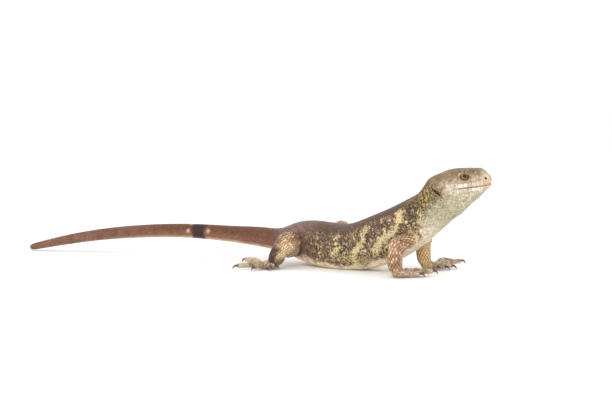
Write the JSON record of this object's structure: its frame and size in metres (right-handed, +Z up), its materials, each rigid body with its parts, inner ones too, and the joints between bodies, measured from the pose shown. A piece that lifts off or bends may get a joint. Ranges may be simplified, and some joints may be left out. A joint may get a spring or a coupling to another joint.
{
  "type": "solomon islands skink",
  "caption": "Still life-size skink resting on its belly, head raised and turned a little left, legs sprawled on splayed clawed toes, long tail swept back to the right.",
  "frame": {"origin": "on the floor under the middle of the belly, at the belly's small flat", "axes": "+X forward along the trunk, +Y to the animal's left, +Z up"},
  "size_m": [0.6026, 0.2124, 0.1215],
  "materials": {
    "head_skin": "satin",
    "body_skin": "satin",
    "tail_skin": "satin",
    "leg_skin": "satin",
    "claw_horn": "satin",
    "eye_surface": "gloss"
  },
  "bodies": {
    "root": {"head": "head_skin", "eye_left": "eye_surface", "eye_right": "eye_surface", "neck": "body_skin", "torso": "body_skin", "tail_base": "tail_skin", "tail_middle": "tail_skin", "tail_tip": "tail_skin", "upper_arm_left": "leg_skin", "forearm_left": "leg_skin", "hand_left": "leg_skin", "upper_arm_right": "leg_skin", "forearm_right": "leg_skin", "hand_right": "leg_skin", "thigh_left": "leg_skin", "shank_left": "leg_skin", "foot_left": "leg_skin", "thigh_right": "leg_skin", "shank_right": "leg_skin", "foot_right": "leg_skin", "claw_hand_left_1": "claw_horn", "claw_hand_left_2": "claw_horn", "claw_hand_left_3": "claw_horn", "claw_hand_left_4": "claw_horn", "claw_hand_left_5": "claw_horn", "claw_hand_right_1": "claw_horn", "claw_hand_right_2": "claw_horn", "claw_hand_right_3": "claw_horn", "claw_hand_right_4": "claw_horn", "claw_hand_right_5": "claw_horn", "claw_foot_left_1": "claw_horn", "claw_foot_left_2": "claw_horn", "claw_foot_left_3": "claw_horn", "claw_foot_left_4": "claw_horn", "claw_foot_left_5": "claw_horn", "claw_foot_right_1": "claw_horn", "claw_foot_right_2": "claw_horn", "claw_foot_right_3": "claw_horn", "claw_foot_right_4": "claw_horn", "claw_foot_right_5": "claw_horn"}
  },
  "joints": []
}
